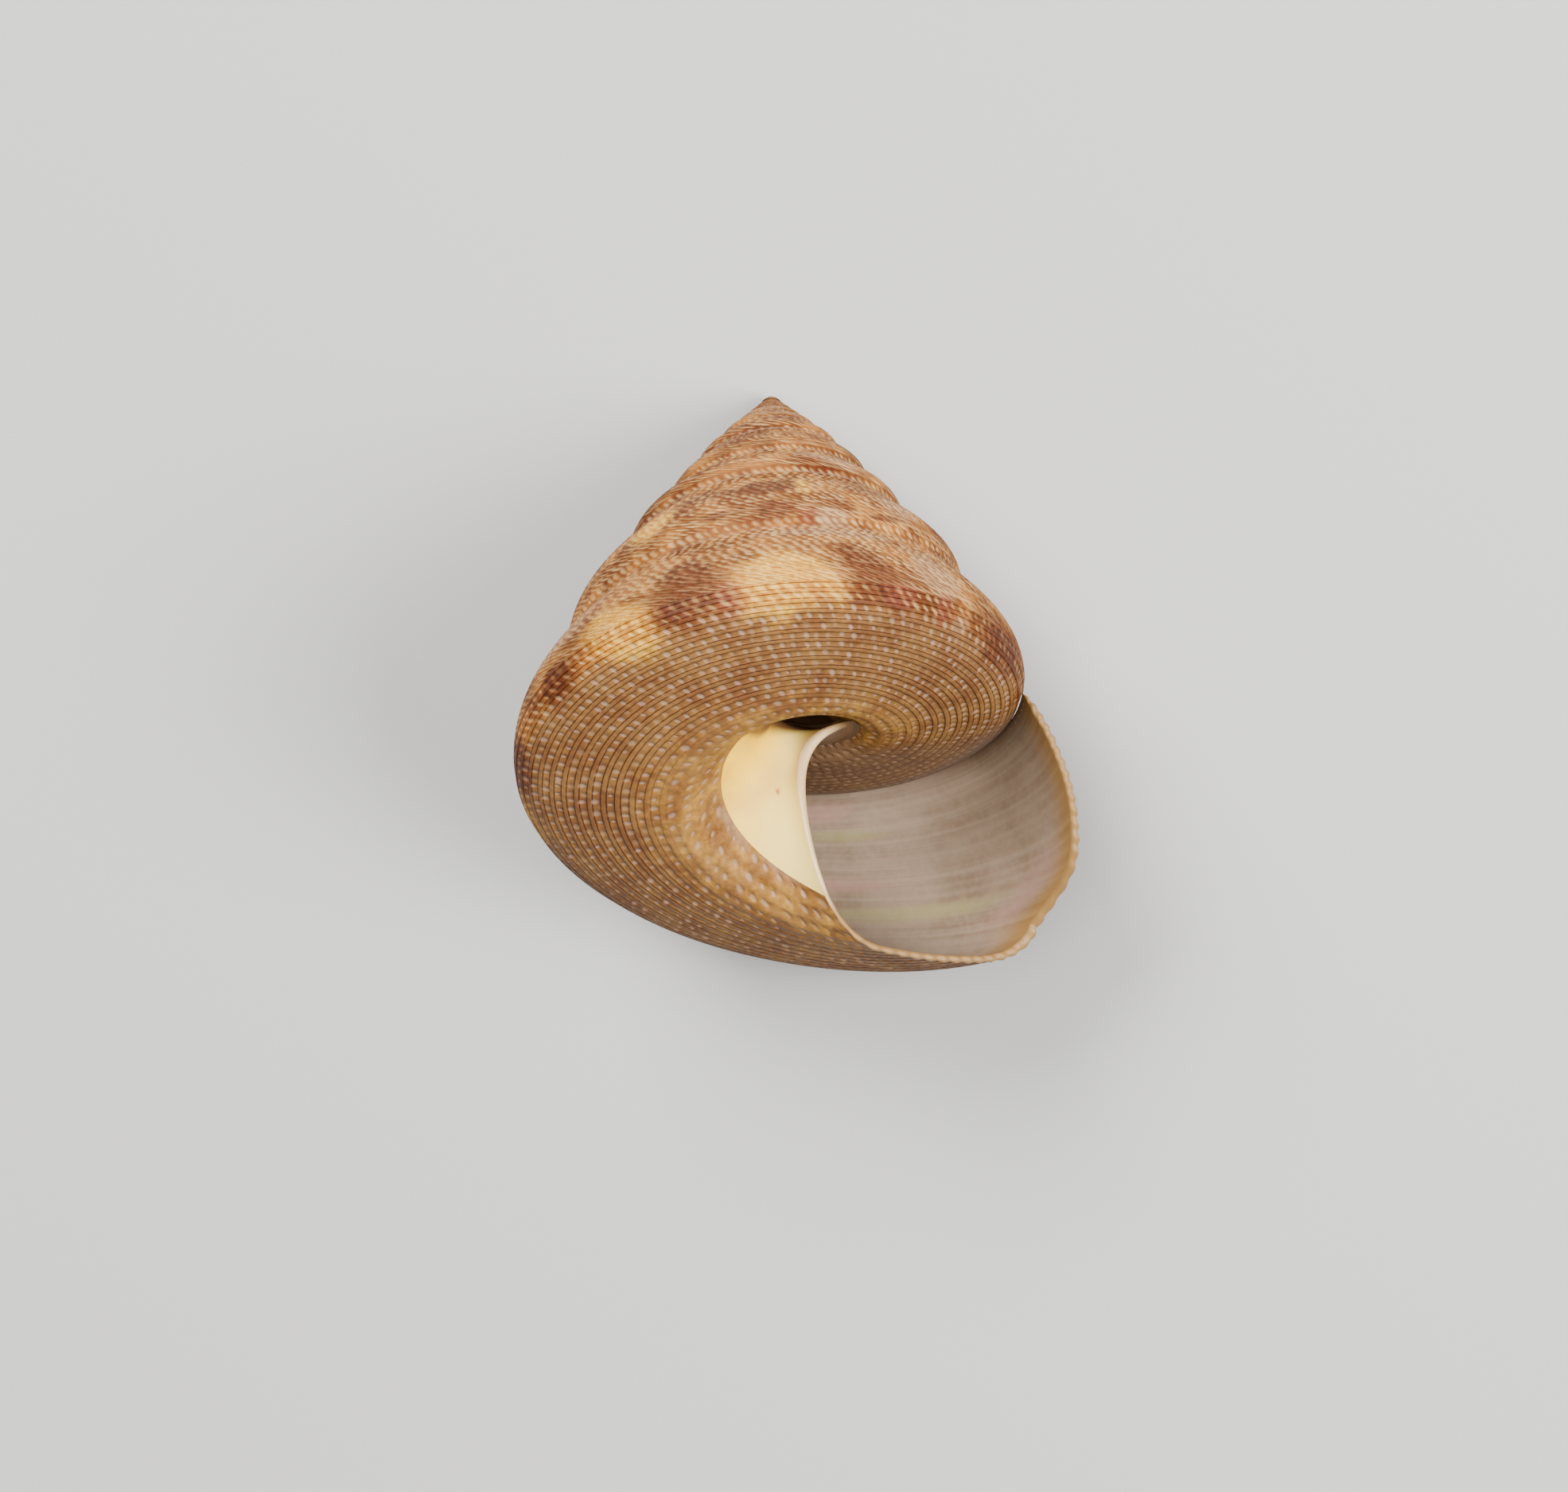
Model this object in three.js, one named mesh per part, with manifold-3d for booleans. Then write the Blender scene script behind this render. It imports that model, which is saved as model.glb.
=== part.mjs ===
// A top shell: one grown piece, a coiled cone with spiral cords, an open mouth and a narrow umbilicus.
// The skin is laid out around an upright axis with the apex at the origin, and the shell is then laid on
// its side.
import * as THREE from "three";
import { mergeVertices } from "three/addons/utils/BufferGeometryUtils.js";
import Module from "manifold-3d";

const wasm = await Module();
wasm.setup();

// The rim is the widest line of a whorl. Turns are counted back from the lip, lengths are in mm.
// Each station: turn, radius of the rim, depth of the rim below the apex.
const rimStations = [
  [-5.5, 2.76, 3.08],
  [-4.0, 4.75, 5.76],
  [-3.25, 5.96, 7.55],
  [-2.5, 7.58, 9.58],
  [-1.75, 10.05, 13.8],
  [-1.0, 12.07, 17.73],
  [-0.5, 13.52, 21.07],
  [0.0, 15.31, 29.0],
];
const earlyGrowth = 1.45;
const firstTurn = -8;

// The outline of a whorl, in parts of its rim radius.
const sideSlope = THREE.MathUtils.degToRad(50);
const sideHandle = 0.33;
const rimRoundness = 0.29;
const rimPower = 0.42;
const baseFlatness = 0.114;
const baseCrown = 0.099;
const funnelDepth = 0.131;
const funnelStart = 0.45;
const umbilicusEdge = 0.24;
const holeTop = 12;
const tipDepth = 0.3;

// The wall of the umbilicus bulges to beside the axis and flares out again to wallTop on the base before
// it. Its two handles: radius in parts of the rim's, and height in parts of the wall's. The solid stops at
// wallReach, below the flare.
const wallTop = 0.31;
const lowerHandle = [0.01, 0.29];
const upperHandle = [-0.05, 1.2];
const wallReach = 0.62;

// Columns are growth lines: they lean back from the suture to the rim, and forward again up the inner lip.
// The place of a point on the outline is w: 0 to 1 side, 1 to 2 base, 2 to 3 umbilicus wall.
const columnsPerTurn = 48;
const leanColumns = 5;
const attachedAt = 1.045;
const leanPlaces = [0, 0.3, 0.6, 0.8, 0.92, attachedAt, 1.2, 1.4, 1.6, 1.8, 2];
const leanTurns = [
  0, 0.0135, 0.0319, 0.0541, 0.083, leanColumns / columnsPerTurn,
  0.113, 0.1185, 0.127, 0.14, 0.172,
];
const innerLipTop = 0.073;
const innerLipCurve = 2.1;
const baseSpread = 1.4;

// Relief and thickness, in mm at a rim radius of reliefRadius, and in parts of the section's size.
const cordHeight = 0.17;
const reliefRadius = 13.5;
const wallShare = 0.13;
const lipShare = 0.07;
const mouthDepth = 0.95;
const mouthColumns = 28;
const pastLip = 0.12;

// Cords on the exposed side by whorl, finer towards the apex, and on the base.
const sideCords = [
  { from: -8, cords: 2 },
  { from: -4, cords: 4 },
  { from: -2, cords: 6 },
  { from: -1, cords: 8 },
];
const baseCords = 12;

// How it lies: turned about its axis until the lowest side is underneath, then tipped over.
// The cords it lies on are worn flat by restWear.
const spin = THREE.MathUtils.degToRad(16.5);
const tip = THREE.MathUtils.degToRad(-126.1);
const restWear = 0.15;
const wearBlock = 60;

// A smooth curve through places and values: cubics whose slopes come from both neighbours.
function smoothCurve(places, values, firstSlope) {
  const steps = places.slice(1).map((place, i) => place - places[i]);
  const rises = steps.map((step, i) => (values[i + 1] - values[i]) / step);
  const slopes = places.map((_, i) => {
    if (i === 0) return firstSlope;
    if (i === places.length - 1) return rises[i - 1];
    return (steps[i - 1] * rises[i] + steps[i] * rises[i - 1]) / (steps[i - 1] + steps[i]);
  });
  return (place) => {
    if (place < places[0]) return values[0] + slopes[0] * (place - places[0]);
    let i = places.length - 2;
    while (i > 0 && place < places[i]) i -= 1;
    const u = (place - places[i]) / steps[i];
    return (
      (2 * u ** 3 - 3 * u ** 2 + 1) * values[i] +
      (u ** 3 - 2 * u ** 2 + u) * steps[i] * slopes[i] +
      (3 * u ** 2 - 2 * u ** 3) * values[i + 1] +
      (u ** 3 - u ** 2) * steps[i] * slopes[i + 1]
    );
  };
}

// The rim's growth is a smooth curve in the logarithm, because a shell grows by a ratio.
function growthCurve(column) {
  const turns = rimStations.map((station) => station[0]);
  const logs = rimStations.map((station) => Math.log(station[column]));
  const curve = smoothCurve(turns, logs, Math.log(earlyGrowth));
  return (turn) => Math.exp(curve(turn));
}
const rimRadius = growthCurve(1);
const rimDepth = growthCurve(2);

// The base at place w: its share of the rim radius, and its depth below the rim in parts of that radius.
function baseShare(w) {
  return 1 - (1 - umbilicusEdge) * (w - 1) ** baseSpread;
}

function baseDrop(rho) {
  const q = Math.max(1 - rho * rho, 0);
  const funnel = Math.max(0, (funnelStart - rho) / (funnelStart - umbilicusEdge));
  return rimRoundness * q ** rimPower - baseFlatness * q + baseCrown * q * q - funnelDepth * funnel ** 2;
}

function basePoint(turn, w) {
  const rho = baseShare(w);
  const radius = rimRadius(turn);
  return [rho * radius, rimDepth(turn) + baseDrop(rho) * radius];
}

// The exposed side, t from 0 at the suture above to 1 at the rim: a cubic that ends upright at the rim.
function sidePoint(turn, t) {
  const [r0, d0] = basePoint(turn - 1, attachedAt);
  const [r1, d1] = [rimRadius(turn), rimDepth(turn)];
  const handle = sideHandle * Math.hypot(r1 - r0, d1 - d0);
  const bend = [r0 + handle * Math.cos(sideSlope), d0 + handle * Math.sin(sideSlope)];
  const v = 1 - t;
  return [
    v ** 3 * r0 + 3 * v * v * t * bend[0] + 3 * v * t * t * r1 + t ** 3 * r1,
    v ** 3 * d0 + 3 * v * v * t * bend[1] + 3 * v * t * t * (d1 - handle) + t ** 3 * d1,
  ];
}

// The wall of the umbilicus, t from 0 at its edge to 1 on the base of the whorl before it.
function wallPoint(turn, t) {
  const [r0, d0] = basePoint(turn, 2);
  const before = rimRadius(turn - 1);
  const [r1, d1] = [wallTop * before, rimDepth(turn - 1) + baseDrop(wallTop) * before];
  const v = 1 - t;
  const [low, high] = [lowerHandle, upperHandle].map(([share, height]) => [
    share * rimRadius(turn),
    d0 + height * (d1 - d0),
  ]);
  return [
    v ** 3 * r0 + 3 * v * v * t * low[0] + 3 * v * t * t * high[0] + t ** 3 * r1,
    v ** 3 * d0 + 3 * v * v * t * low[1] + 3 * v * t * t * high[1] + t ** 3 * d1,
  ];
}

// The top of a whorl, t from 0 at the top of its wall to 1 at the suture, inside the whorl before it.
function topPoint(turn, t) {
  const [r0, d0] = wallPoint(turn, wallReach);
  const [r1, d1] = basePoint(turn - 1, attachedAt);
  return [r0 + (r1 - r0) * t, d0 + (d1 - d0) * t];
}

function outlinePoint(turn, w) {
  if (w <= 1) return sidePoint(turn, w);
  if (w <= 2) return basePoint(turn, w);
  if (w <= 3) return wallPoint(turn, (w - 2) * wallReach);
  return topPoint(turn, w - 3);
}

// How far along the coil, in turns, each place of a growth line lies from its upper end.
const outerLean = smoothCurve(leanPlaces, leanTurns, 0);

function innerLean(t) {
  return THREE.MathUtils.lerp(-outerLean(2), innerLipTop, (t * wallReach) ** innerLipCurve);
}

function lean(w) {
  if (w <= 2) return -outerLean(w);
  if (w <= 3) return innerLean(w - 2);
  return innerLean(1) * (4 - w);
}

function place([radius, depth], turn) {
  const angle = -2 * Math.PI * turn;
  return [radius * Math.cos(angle), radius * Math.sin(angle), -depth];
}

// A point of the skin, raised along the outline's normal where it is on the crest of a cord.
function skinPoint(turn, w, crest) {
  const at = turn + lean(w);
  const [radius, depth] = outlinePoint(at, w);
  if (!crest) return place([radius, depth], at);
  const [aheadRadius, aheadDepth] = outlinePoint(at, w + 0.01);
  const along = [aheadRadius - radius, aheadDepth - depth];
  const size = (cordHeight * rimRadius(at)) / reliefRadius / Math.hypot(...along);
  return place([radius + along[1] * size, depth - along[0] * size], at);
}

// A column of the skin from the suture to where the next whorl covers it, or on to the umbilicus.
function skinColumn(turn, open) {
  const cords = sideCords.findLast((stretch) => turn >= stretch.from).cords;
  const places = [];
  for (let i = 0; i < 2 * cords; i += 1) places.push({ w: i / (2 * cords), crest: i % 2 === 1 });
  places.push({ w: attachedAt, crest: false });
  if (open) {
    for (let i = 1; i < 2 * baseCords; i += 1) {
      places.push({ w: THREE.MathUtils.lerp(attachedAt, 2, i / (2 * baseCords)), crest: i % 2 === 1 });
    }
    for (const w of [2, 2.2, 2.45, 2.7, 3]) places.push({ w, crest: false });
  }
  return places.map(({ w, crest }) => ({ w, point: skinPoint(turn, w, crest) }));
}

function distance(a, b) {
  return Math.hypot(a[0] - b[0], a[1] - b[1], a[2] - b[2]);
}

// Whether the diagonal up from the left column's next point is shorter than the other one.
function leftIsShorter(left, i, right, j) {
  const fromLeft = distance(left[i + 1].point, right[j].point);
  return fromLeft < distance(left[i].point, right[j + 1].point);
}

// Triangles between two neighbouring columns, whichever number of points each has.
// Where both have a point at the same place, the shorter diagonal is taken.
function zip(left, right, faces) {
  let [i, j] = [0, 0];
  while (i < left.length - 1 || j < right.length - 1) {
    const nextLeft = i < left.length - 1 ? left[i + 1].w : Infinity;
    const nextRight = j < right.length - 1 ? right[j + 1].w : Infinity;
    if (nextLeft < nextRight || (nextLeft === nextRight && leftIsShorter(left, i, right, j))) {
      faces.push([left[i + 1].point, left[i].point, right[j].point]);
      i += 1;
    } else {
      faces.push([right[j + 1].point, left[i].point, right[j].point]);
      j += 1;
    }
  }
}

// The outer solid, with the mouth still closed by a curtain between the lip and the whorl before it.
function outerSolid() {
  const last = -firstTurn * columnsPerTurn;
  const firstOpen = last - columnsPerTurn + leanColumns;
  const holeEnd = { w: 4, point: [0, 0, -holeTop] };
  const columns = [];
  for (let i = 0; i <= last; i += 1) {
    const column = skinColumn(firstTurn + i / columnsPerTurn, i >= firstOpen);
    columns.push(i >= firstOpen ? [...column, holeEnd] : column);
  }
  const covered = columns[firstOpen].filter(({ w }) => w <= attachedAt);
  const faces = [];
  for (let i = 0; i < last; i += 1) {
    zip(columns[i], i + 1 === firstOpen ? covered : columns[i + 1], faces);
  }
  const firstTops = columns.slice(0, columnsPerTurn - leanColumns + 1).map((column) => column[0]);
  const rim = [...firstTops, ...columns[0].slice(1, -1).reverse()];
  rim.forEach(({ point }, i) => faces.push([rim[(i + 1) % rim.length].point, point, [0, 0, -tipDepth]]));
  const evenly = (column) => column.map(({ point }, i) => ({ w: i / (column.length - 1), point }));
  zip(evenly(columns[last]), evenly(columns[firstOpen].filter(({ w }) => w >= attachedAt)), faces);
  return solidFromTriangles(faces);
}

function solidFromTriangles(faces) {
  const geometry = new THREE.BufferGeometry();
  geometry.setAttribute("position", new THREE.Float32BufferAttribute(faces.flat(2), 3));
  return solidFromGeometry(geometry);
}

// A closed solid from a geometry whose shared corners agree.
function solidFromGeometry(geometry) {
  geometry.deleteAttribute("normal");
  geometry.deleteAttribute("uv");
  const merged = mergeVertices(geometry, 1e-4);
  const corners = [];
  for (let i = 0; i < merged.index.count; i += 3) {
    const [a, b, c] = merged.index.array.slice(i, i + 3);
    if (a !== b && b !== c && c !== a) corners.push(a, b, c);
  }
  return new wasm.Manifold(
    new wasm.Mesh({
      numProp: 3,
      vertProperties: merged.attributes.position.array,
      triVerts: new Uint32Array(corners),
    }),
  );
}

// The cavity follows the outline, drawn in towards its middle, and narrows to its inner end.
const cavityPlaces = [0.02, 0.2, 0.4, 0.6, 0.8, 1, 1.12, 1.3, 1.55, 1.8, 2, 2.3, 2.6, 2.95, 3.3, 3.6, 3.85];

function cavityRing(turn) {
  const centre = [0, 1.3, 2.2, 3.4]
    .map((corner) => outlinePoint(turn + lean(corner), corner))
    .reduce((sum, point) => [sum[0] + point[0] / 4, sum[1] + point[1] / 4], [0, 0]);
  const share = THREE.MathUtils.lerp(lipShare, wallShare, THREE.MathUtils.clamp(-turn / 0.25, 0, 1));
  const narrowing = THREE.MathUtils.clamp((mouthDepth + turn) / 0.3, 0.15, 1);
  const keep = (1 - share) * Math.sqrt(narrowing);
  return cavityPlaces.map((w) => {
    const at = turn + lean(w);
    const [radius, depth] = outlinePoint(at, w);
    return place([centre[0] + (radius - centre[0]) * keep, centre[1] + (depth - centre[1]) * keep], at);
  });
}

function cavitySolid() {
  const rings = [];
  for (let i = 0; i <= mouthColumns; i += 1) {
    rings.push(cavityRing(THREE.MathUtils.mapLinear(i, 0, mouthColumns, -mouthDepth, pastLip)));
  }
  const faces = [];
  const count = cavityPlaces.length;
  for (let i = 0; i < mouthColumns; i += 1) {
    for (let j = 0; j < count; j += 1) {
      const k = (j + 1) % count;
      faces.push([rings[i][j], rings[i][k], rings[i + 1][k]].reverse());
      faces.push([rings[i][j], rings[i + 1][k], rings[i + 1][j]].reverse());
    }
  }
  const middle = (ring) => [0, 1, 2].map((axis) => ring.reduce((sum, point) => sum + point[axis], 0) / count);
  const [inner, outer] = [rings[0], rings[mouthColumns]];
  for (let j = 0; j < count; j += 1) {
    const k = (j + 1) % count;
    faces.push([inner[j], inner[k], middle(inner)]);
    faces.push([outer[k], outer[j], middle(outer)]);
  }
  return solidFromTriangles(faces);
}

// The block that wears the lowest cords flat, laid under the shell once that is turned by laid.
function wearSolid(solid, laid) {
  const corners = new THREE.BufferAttribute(solid.getMesh().vertProperties, 3).applyMatrix4(laid);
  const lowest = new THREE.Box3().setFromBufferAttribute(corners).min.z;
  const block = new THREE.BoxGeometry(wearBlock, wearBlock, wearBlock);
  block.translate(0, 0, lowest + restWear - wearBlock / 2);
  block.applyMatrix4(laid.clone().invert());
  return solidFromGeometry(block);
}

// The whole shell as one mesh, laid on its side with the middle of its box over the origin.
function shellMesh() {
  const laid = new THREE.Matrix4().makeRotationFromEuler(new THREE.Euler(tip, 0, spin));
  const grown = outerSolid().subtract(cavitySolid());
  const { vertProperties, triVerts } = grown.subtract(wearSolid(grown, laid)).getMesh();
  const geometry = new THREE.BufferGeometry();
  geometry.setAttribute("position", new THREE.BufferAttribute(vertProperties, 3));
  geometry.setIndex(new THREE.BufferAttribute(triVerts, 1));
  const mesh = new THREE.Mesh(
    geometry,
    new THREE.MeshStandardMaterial({ color: 0xa9794b, roughness: 0.45, metalness: 0, flatShading: true }),
  );
  mesh.name = "shell";
  mesh.setRotationFromMatrix(laid);
  mesh.updateMatrixWorld();
  const box = new THREE.Box3().setFromObject(mesh, true);
  const middle = box.getCenter(new THREE.Vector3());
  mesh.position.set(-middle.x, -middle.y, -box.min.z);
  return mesh;
}

const topShell = new THREE.Group();
topShell.add(shellMesh());

export default topShell;
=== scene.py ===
# %% [markdown]
# A beaded top shell, lying on its back side with its base and mouth turned up.
# On the real object everything is one grown wall: a tube that coils down a cone, with spiral cords of
# beads outside and mother-of-pearl inside. So every piece below comes from the same few formulas:
# how the rim grows, what the outline of a whorl is, and how growth lines lean along it.
# Lengths are in millimetres in a frame of the shell's own, with the tip of the spire at the origin and
# the axis upright, and each piece is laid down and turned to metres as it is made.

import math

import bpy
import numpy as np
from mathutils import Matrix, Vector


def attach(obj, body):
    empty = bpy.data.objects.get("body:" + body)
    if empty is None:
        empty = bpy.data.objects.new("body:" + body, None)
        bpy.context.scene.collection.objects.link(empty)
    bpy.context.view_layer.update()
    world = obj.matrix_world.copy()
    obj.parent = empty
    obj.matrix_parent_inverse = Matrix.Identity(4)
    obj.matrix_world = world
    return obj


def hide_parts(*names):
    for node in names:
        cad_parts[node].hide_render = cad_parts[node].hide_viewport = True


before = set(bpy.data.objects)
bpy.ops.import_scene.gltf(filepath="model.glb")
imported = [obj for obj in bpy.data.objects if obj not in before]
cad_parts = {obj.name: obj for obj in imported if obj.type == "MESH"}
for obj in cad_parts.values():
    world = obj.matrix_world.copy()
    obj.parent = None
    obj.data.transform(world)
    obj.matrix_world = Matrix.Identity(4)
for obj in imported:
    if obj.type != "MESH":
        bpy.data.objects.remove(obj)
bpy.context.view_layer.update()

# %% [markdown]
# Growth. The animal adds to the lip as it grows, each time by a share of what is there, so the whorls
# widen by a ratio. A spiral with one fixed ratio would be the usual way to model it. Real shells change
# their ratio a little with age, so here the rim's radius and depth are smooth curves through a few
# stations, taken in the logarithm. Turns are counted back from the lip, so the lip is at turn 0.

# %% The growth of the rim
RIM_TURNS = np.array([-5.5, -4.0, -3.25, -2.5, -1.75, -1.0, -0.5, 0.0])
RIM_RADII = np.array([2.76, 4.75, 5.96, 7.58, 10.05, 12.07, 13.52, 15.31])
RIM_DEPTHS = np.array([3.08, 5.76, 7.55, 9.58, 13.8, 17.73, 21.07, 29.0])
EARLY_GROWTH = 1.45


def smooth_curve(at, places, values, first_slope):
    """Cubic Hermite curve through the values at the places. The slope at each place is the mean of the two
    straight slopes beside it, each weighted by the other's length. The last is the last straight slope."""
    steps = np.diff(places)
    rises = np.diff(values) / steps
    inner = (steps[:-1] * rises[1:] + steps[1:] * rises[:-1]) / (steps[:-1] + steps[1:])
    slopes = np.concatenate([[first_slope], inner, rises[-1:]])
    i = np.clip(np.searchsorted(places, at, side="right") - 1, 0, len(steps) - 1)
    u = (at - places[i]) / steps[i]
    curve = (2 * u**3 - 3 * u**2 + 1) * values[i] + (3 * u**2 - 2 * u**3) * values[i + 1]
    curve = curve + steps[i] * ((u**3 - 2 * u**2 + u) * slopes[i] + (u**3 - u**2) * slopes[i + 1])
    return np.where(at < places[0], values[0] + first_slope * (at - places[0]), curve)


def growth_curve(turn, stations):
    """A smooth curve through the stations' logarithms; before the first one it grows by a fixed ratio."""
    turn = np.asarray(turn, float)
    return np.exp(smooth_curve(turn, RIM_TURNS, np.log(stations), math.log(EARLY_GROWTH)))


def rim_radius(turn):
    return growth_curve(turn, RIM_RADII)


def rim_depth(turn):
    return growth_curve(turn, RIM_DEPTHS)


print("rim radius at the lip and one turn before, mm:", *np.round([rim_radius(0.0), rim_radius(-1.0)], 2))

# %% [markdown]
# The outline of a whorl. A place on it is one number w: 0 to 1 runs down the side that shows, from the
# suture to the rim; 1 to 2 crosses the base to the edge of the funnel; 2 to 3 climbs the funnel's wall.
# It could be drawn as one curve and swept, but three formulas keep each stretch's own character: a Bezier
# for the convex side, a few powers for the base, and a Bezier again for the funnel's wall.

# %% The outline of a whorl
SIDE_SLOPE = math.radians(50)
SIDE_HANDLE = 0.33
RIM_ROUNDNESS, RIM_POWER = 0.29, 0.42
BASE_FLATNESS, BASE_CROWN = 0.114, 0.099
FUNNEL_DEPTH, FUNNEL_START, FUNNEL_EDGE = 0.131, 0.45, 0.24
WALL_TOP = 0.31
WALL_LOWER, WALL_UPPER = (0.01, 0.29), (-0.05, 1.2)
BASE_SPREAD = 1.4
ATTACHED_AT = 1.045


def base_share(w):
    """The base's radius at w, in parts of the rim's: 1 less a power of w, down to the funnel's edge."""
    return 1 - (1 - FUNNEL_EDGE) * np.maximum(w - 1, 0) ** BASE_SPREAD


def base_drop(share):
    """Depth of the base below the rim: a round corner, a low crown, and a dip into the funnel."""
    q = np.maximum(1 - share**2, 0)
    funnel = np.maximum(0, (FUNNEL_START - share) / (FUNNEL_START - FUNNEL_EDGE))
    return RIM_ROUNDNESS * q**RIM_POWER - BASE_FLATNESS * q + BASE_CROWN * q**2 - FUNNEL_DEPTH * funnel**2


def base_line(turn, w):
    """(radius, depth) of the base: the rim's, scaled and dropped."""
    share = base_share(w)
    return share * rim_radius(turn), rim_depth(turn) + base_drop(share) * rim_radius(turn)


def side_line(turn, w):
    """A cubic Bezier from the suture on the whorl before, leaving at a fixed slope, and ending upright at
    the rim."""
    r0, d0 = base_line(turn - 1, ATTACHED_AT)
    r1, d1 = rim_radius(turn), rim_depth(turn)
    handle = SIDE_HANDLE * np.hypot(r1 - r0, d1 - d0)
    v = 1 - w
    bend = r0 + handle * math.cos(SIDE_SLOPE), d0 + handle * math.sin(SIDE_SLOPE)
    radius = v**3 * r0 + 3 * v**2 * w * bend[0] + 3 * v * w**2 * r1 + w**3 * r1
    depth = v**3 * d0 + 3 * v**2 * w * bend[1] + 3 * v * w**2 * (d1 - handle) + w**3 * d1
    return radius, depth


def wall_line(turn, w):
    """The funnel's wall: a cubic Bezier from the funnel's edge in to beside the axis, and out again on to
    the base of the whorl before, whose radius there is WALL_TOP of its rim's."""
    t = w - 2
    r0, d0 = base_line(turn, 2.0)
    before = rim_radius(turn - 1)
    r1, d1 = WALL_TOP * before, rim_depth(turn - 1) + base_drop(WALL_TOP) * before
    v = 1 - t
    (low, low_depth), (high, high_depth) = WALL_LOWER, WALL_UPPER
    weights = v**3, 3 * v**2 * t, 3 * v * t**2, t**3
    radii = r0, low * rim_radius(turn), high * rim_radius(turn), r1
    depths = d0, d0 + low_depth * (d1 - d0), d0 + high_depth * (d1 - d0), d1
    return sum(a * b for a, b in zip(weights, radii)), sum(a * b for a, b in zip(weights, depths))


def outline(turn, w):
    """(radius, depth) of the outline at w, whichever stretch it is on."""
    side = side_line(turn, np.clip(w, 0, 1))
    base = base_line(turn, np.clip(w, 1, 2))
    wall = wall_line(turn, np.clip(w, 2, 3))
    return tuple(np.where(w <= 1, s, np.where(w <= 2, b, c)) for s, b, c in zip(side, base, wall))


for spot, w_there in (("suture", 0.0), ("rim", 1.0), ("funnel's edge", 2.0)):
    print(spot, "at the lip, radius and depth in mm:", *np.round(outline(0.0, w_there), 2))

# %% [markdown]
# Growth lines. Each is the place of an old lip. It leans back from the suture to the rim, back a little
# more across the base, and forward again up the inner lip, so the mouth is oblique. A straight cut across
# the tube would be simpler, but mouth, patches and beads all follow this lean on the real shell.

# %% The lean of a growth line, and the place of a point
LEAN_PLACES = np.array([0, 0.3, 0.6, 0.8, 0.92, ATTACHED_AT, 1.2, 1.4, 1.6, 1.8, 2])
LEAN_TURNS = np.array([0, 0.0135, 0.0319, 0.0541, 0.083, 5 / 48, 0.113, 0.1185, 0.127, 0.14, 0.172])
INNER_LIP_TOP, INNER_LIP_CURVE = 0.073, 2.1


def lean(w):
    """How far along the coil, in turns, each place of a growth line lies from its upper end: a smooth curve
    back to the funnel's edge, and from there a power of w forward again."""
    outer = -smooth_curve(np.clip(w, 0.0, 2.0), LEAN_PLACES, LEAN_TURNS, 0.0)
    rise = np.clip(np.asarray(w, float) - 2, 0, 1) ** INNER_LIP_CURVE
    return outer + (INNER_LIP_TOP + LEAN_TURNS[-1]) * rise


def place(radius, depth, turn):
    """A point of a whorl in the shell's frame: the coil runs clockwise seen from the tip."""
    angle = -2 * math.pi * turn
    return np.stack([radius * np.cos(angle), radius * np.sin(angle), -depth + 0 * angle], -1)


print("lean at the rim and at the funnel's edge, turns:", *np.round([lean(1.0), lean(2.0)], 3))

# %% [markdown]
# How it lies. A shell can't stand on its rim, so it lies on its back with the mouth up. It is spun about
# its axis and tipped over, and the tip of the spire then comes to a known place in the shared frame. Every
# point is turned as it is made, so each object stays at the origin, unturned and unscaled.

# %% From the shell's frame to the shared one
SPIN, TIP = math.radians(16.5), math.radians(-126.1)
APEX_AT = np.array([0.31926, 15.28544, 0.60247])
MM = 0.001
turned = np.array(Matrix.Rotation(TIP, 3, "X") @ Matrix.Rotation(SPIN, 3, "Z"))


def to_room(points):
    """Millimetres in the shell's frame to metres in the shared frame: turned, shifted, and with whatever
    would be under the floor lifted on to it, because the cords it lies on are worn flat."""
    laid = points @ turned.T + APEX_AT
    laid[..., 2] = np.maximum(laid[..., 2], 0)
    return laid * MM


print("tip of the spire at, m:", *to_room(np.zeros((1, 3)))[0].round(5))

# %% [markdown]
# Surfaces. Every piece here is a grid of points worked out with numpy: rows run across a whorl and columns
# along the coil. One helper turns such a grid into a smooth mesh. Its UV map counts beads along the coil
# and cords across it, so that a pattern can be drawn bead by bead, and its attributes hold paint. An image
# could hold the paint too, but attributes are sharp at any distance and need no file.

# %% Mesh, normals and attributes from grids
def outward(points):
    """Unit normals of a grid of points: the cross product of its two differences."""
    normal = np.cross(np.gradient(points, axis=0), np.gradient(points, axis=1))
    return normal / np.maximum(np.linalg.norm(normal, axis=-1, keepdims=True), 1e-9)


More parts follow.
